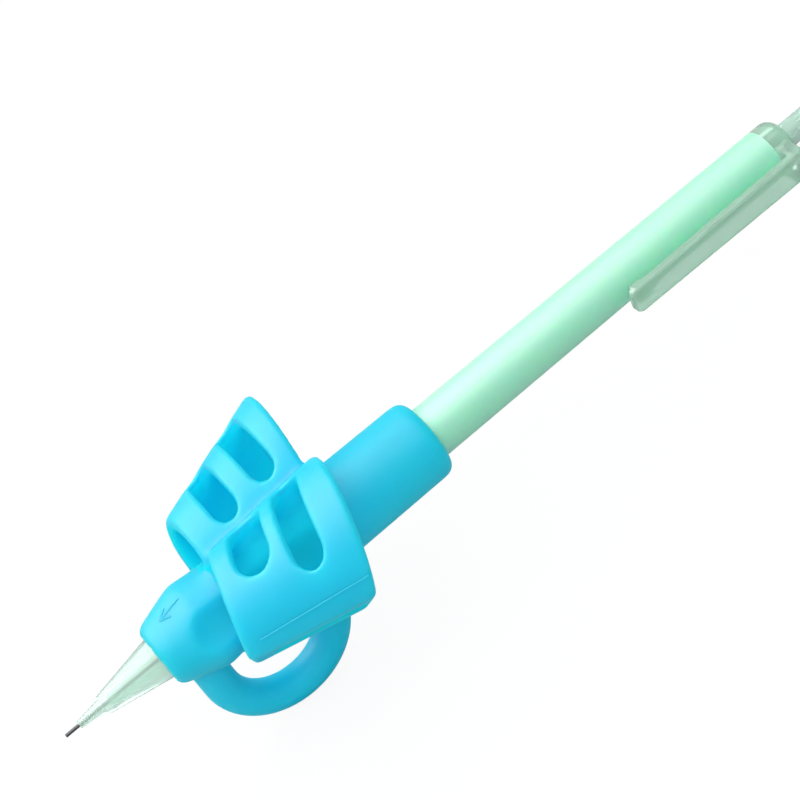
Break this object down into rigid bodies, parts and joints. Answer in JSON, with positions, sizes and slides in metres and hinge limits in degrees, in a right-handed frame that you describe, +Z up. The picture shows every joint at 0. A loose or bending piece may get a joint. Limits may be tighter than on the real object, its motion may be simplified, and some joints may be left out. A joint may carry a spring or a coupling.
{
  "type": "pencil grip on a mechanical pencil",
  "caption": "Soft silicone pencil grip with slotted finger hoods and a middle-finger ring, on a slim push-button mechanical pencil with a clear nose and clip.",
  "frame": {"origin": "the writing point of the lead", "axes": "+X along the pencil from the writing point to the push button, +Z up between the two finger hoods with the middle-finger ring straight down, thumb hood towards -Y"},
  "size_m": [0.1476, 0.0424, 0.0398],
  "materials": {
    "blue_silicone": "satin silicone",
    "clear_nose": "clear moulded polystyrene",
    "mint_plastic": "moulded",
    "clear_clip": "clear moulded polycarbonate",
    "pale_button": "moulded",
    "clear_rubber": "matte",
    "brass": "turned",
    "spring_steel": "drawn wire",
    "white_plastic": "moulded",
    "graphite": "extruded lead",
    "white_eraser": "matte"
  },
  "bodies": {
    "barrel": {"barrel": "mint_plastic", "clip": "clear_clip", "chuck_sleeve": "white_plastic", "chuck_spring": "spring_steel"},
    "nose": {"nose_cone": "clear_nose", "lead_retainer": "clear_rubber"},
    "grip": {"silicone_grip": "blue_silicone"},
    "advance": {"lead_tube": "white_plastic", "tube_coupler": "white_plastic", "chuck": "brass", "eraser": "white_eraser", "spare_leads": "graphite"},
    "button": {"push_button": "pale_button"},
    "lead": {"lead": "graphite"},
    "clutch_ring": {"clutch_ring": "brass"}
  },
  "joints": [
    {"name": "button_press", "type": "slide", "parent": "barrel", "child": "advance", "axis": [-1, 0, 0], "range_m": [0, 0.0025], "stiffness_N_per_m": 1500, "springref_m": -0.0015, "deforming": ["chuck_spring"]},
    {"name": "clutch_ring_slide", "type": "slide", "parent": "barrel", "child": "clutch_ring", "axis": [-1, 0, 0], "range_m": [0, 0.001]},
    {"name": "cap_pull", "type": "slide", "parent": "advance", "child": "button", "axis": [1, 0, 0], "range_m": [0, 0.012]},
    {"name": "lead_feed", "type": "slide", "parent": "advance", "child": "lead", "axis": [-1, 0, 0], "range_m": [-0.0024, 0.058]},
    {"name": "nose_unscrew", "type": "hinge", "parent": "barrel", "child": "nose", "pos_m": [0.0222, 0, 0], "axis": [-1, 0, 0], "range_deg": [0, 1080]},
    {"name": "grip_slide", "type": "slide", "parent": "barrel", "child": "grip", "axis": [-1, 0, 0], "range_m": [0, 0.07]}
  ],
  "couplings": [
    {"joint": "clutch_ring_slide", "follows": "button_press", "ratio": 0.4}
  ]
}
